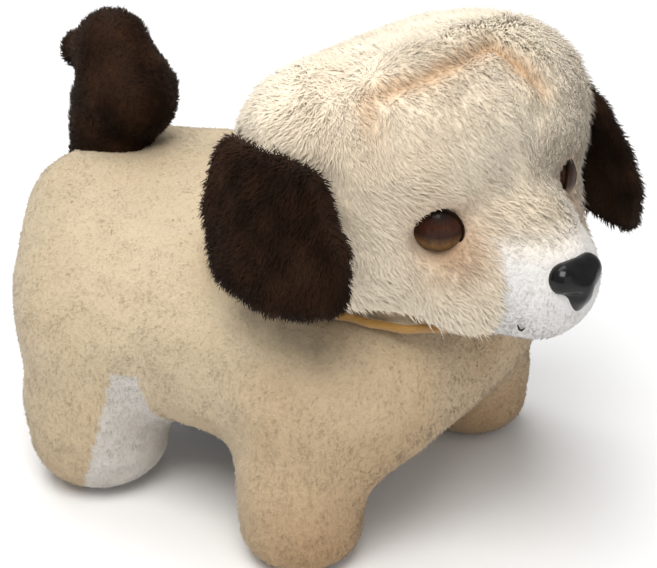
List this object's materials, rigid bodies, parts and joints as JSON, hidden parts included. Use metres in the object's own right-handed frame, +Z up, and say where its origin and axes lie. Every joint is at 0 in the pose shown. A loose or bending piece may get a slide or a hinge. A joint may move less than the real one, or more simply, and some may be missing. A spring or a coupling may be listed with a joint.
{
  "type": "interactive plush pet",
  "caption": "Battery-driven walking plush puppy: padded coat over a plastic gear drive, swinging legs, wagging tail, turning and nodding head, belly battery door.",
  "frame": {"origin": "on the standing plane, under the middle of the whole puppy", "axes": "+Z up, -Y towards the nose, +X towards the puppy's left side"},
  "size_m": [0.1186, 0.1634, 0.1283],
  "materials": {
    "plush_cream": "short woven pile, matte",
    "plush_white": "short dense pile, matte",
    "plush_brown": "deep pile, soft sheen",
    "ribbon_gold": "satin ribbon",
    "shell_grey": "fine moulded grain",
    "part_white": "natural acetal",
    "steel": "plain steel",
    "brass": "plain",
    "cell_blue": "printed sleeve, no text",
    "board_green": "solder mask",
    "black_plastic": "satin",
    "nose_black": "high gloss",
    "eye_amber": "high gloss"
  },
  "bodies": {
    "chassis": {"chassis_left": "shell_grey", "chassis_right": "shell_grey", "body_plush": "plush_cream", "collar_ribbon": "ribbon_gold", "battery_tray": "part_white", "battery_cells": "cell_blue", "battery_contacts": "brass", "motor_can": "steel", "motor_end_cap": "part_white", "gearbox_plate_left": "shell_grey", "gearbox_plate_right": "shell_grey", "gearbox_pins": "steel", "hip_axles": "steel", "circuit_board": "board_green", "board_parts": "black_plastic", "speaker_basket": "steel", "speaker_cone": "black_plastic", "case_screws": "steel", "switch_housing": "black_plastic", "nod_pin": "steel"},
    "door": {"battery_door": "shell_grey", "door_screw": "steel"},
    "switch": {"switch_knob": "black_plastic"},
    "motor_shaft": {"motor_pinion": "part_white"},
    "first_gear": {"first_gear": "part_white"},
    "second_gear": {"second_gear": "part_white"},
    "crank": {"crank_gear": "part_white", "crank_shaft": "steel", "crank_discs": "part_white"},
    "leg_front_right": {"leg_arm_front_right": "part_white", "leg_plush_front_right": "plush_cream", "leg_lining_front_right": "plush_white"},
    "leg_front_left": {"leg_arm_front_left": "part_white", "leg_plush_front_left": "plush_cream", "leg_lining_front_left": "plush_white"},
    "leg_hind_right": {"leg_arm_hind_right": "part_white", "leg_plush_hind_right": "plush_cream", "leg_lining_hind_right": "plush_white"},
    "leg_hind_left": {"leg_arm_hind_left": "part_white", "leg_plush_hind_left": "plush_cream", "leg_lining_hind_left": "plush_white"},
    "link_right": {"link_right": "shell_grey"},
    "link_left": {"link_left": "shell_grey"},
    "neck": {"neck_yoke": "part_white", "neck_cap": "steel"},
    "head": {"skull_front": "part_white", "skull_back": "part_white", "head_plush": "plush_cream", "muzzle_plush": "plush_white", "nose": "nose_black", "eye_right": "eye_amber", "eye_left": "eye_amber", "ear_right": "plush_brown", "ear_left": "plush_brown"},
    "tail": {"tail_lever": "part_white", "tail_plush": "plush_brown"}
  },
  "joints": [
    {"name": "crank_spin", "type": "hinge", "parent": "chassis", "child": "crank", "pos_m": [0, 0.01025, 0.052], "axis": [1, 0, 0], "continuous": true},
    {"name": "second_gear_spin", "type": "hinge", "parent": "chassis", "child": "second_gear", "pos_m": [0, 0.0199, 0.052], "axis": [1, 0, 0], "continuous": true},
    {"name": "first_gear_spin", "type": "hinge", "parent": "chassis", "child": "first_gear", "pos_m": [0, 0.02955, 0.052], "axis": [1, 0, 0], "continuous": true},
    {"name": "motor_spin", "type": "hinge", "parent": "chassis", "child": "motor_shaft", "pos_m": [0, 0.0392, 0.052], "axis": [1, 0, 0], "continuous": true},
    {"name": "swing_front_right", "type": "hinge", "parent": "chassis", "child": "leg_front_right", "pos_m": [0, -0.02175, 0.042], "axis": [1, 0, 0], "range_deg": [-17, 7]},
    {"name": "swing_front_left", "type": "hinge", "parent": "chassis", "child": "leg_front_left", "pos_m": [0, -0.02175, 0.042], "axis": [1, 0, 0], "range_deg": [-7, 17]},
    {"name": "swing_hind_right", "type": "hinge", "parent": "chassis", "child": "leg_hind_right", "pos_m": [0, 0.04325, 0.042], "axis": [1, 0, 0], "range_deg": [-17, 7]},
    {"name": "swing_hind_left", "type": "hinge", "parent": "chassis", "child": "leg_hind_left", "pos_m": [0, 0.04325, 0.042], "axis": [1, 0, 0], "range_deg": [-7, 17]},
    {"name": "link_right_pin", "type": "hinge", "parent": "leg_front_right", "child": "link_right", "pos_m": [0, -0.02262, 0.05196], "axis": [1, 0, 0], "range_deg": [-7, 17]},
    {"name": "link_left_pin", "type": "hinge", "parent": "leg_front_left", "child": "link_left", "pos_m": [0, -0.02088, 0.05196], "axis": [1, 0, 0], "range_deg": [-17, 7]},
    {"name": "head_nod", "type": "hinge", "parent": "chassis", "child": "neck", "pos_m": [0, -0.02775, 0.066], "axis": [1, 0, 0], "range_deg": [-4.25, 1.75]},
    {"name": "head_turn", "type": "hinge", "parent": "neck", "child": "head", "pos_m": [0, -0.02775, 0.078], "axis": [0, 0, 1], "range_deg": [-5, 35]},
    {"name": "tail_wag", "type": "hinge", "parent": "chassis", "child": "tail", "pos_m": [0, 0.06625, 0.056], "axis": [0, 1, 0], "range_deg": [-25.5, 10.5]},
    {"name": "door_off", "type": "slide", "parent": "chassis", "child": "door", "axis": [0, 0, -1], "range_m": [0, 0.015]},
    {"name": "switch_slide", "type": "slide", "parent": "chassis", "child": "switch", "axis": [0, 1, 0], "range_m": [0, 0.0025]}
  ],
  "couplings": [
    {"joint": "second_gear_spin", "follows": "crank_spin", "ratio": -2.8},
    {"joint": "first_gear_spin", "follows": "crank_spin", "ratio": 7.84},
    {"joint": "motor_spin", "follows": "crank_spin", "ratio": -21.952},
    {"joint": "swing_front_left", "follows": "swing_front_right", "ratio": -1},
    {"joint": "swing_hind_right", "follows": "swing_front_right", "ratio": 1},
    {"joint": "swing_hind_left", "follows": "swing_front_right", "ratio": -1},
    {"joint": "link_right_pin", "follows": "swing_front_right", "ratio": -1},
    {"joint": "link_left_pin", "follows": "swing_front_right", "ratio": 1},
    {"joint": "tail_wag", "follows": "swing_front_right", "ratio": 1.5},
    {"joint": "head_nod", "follows": "swing_front_right", "ratio": 0.25}
  ]
}
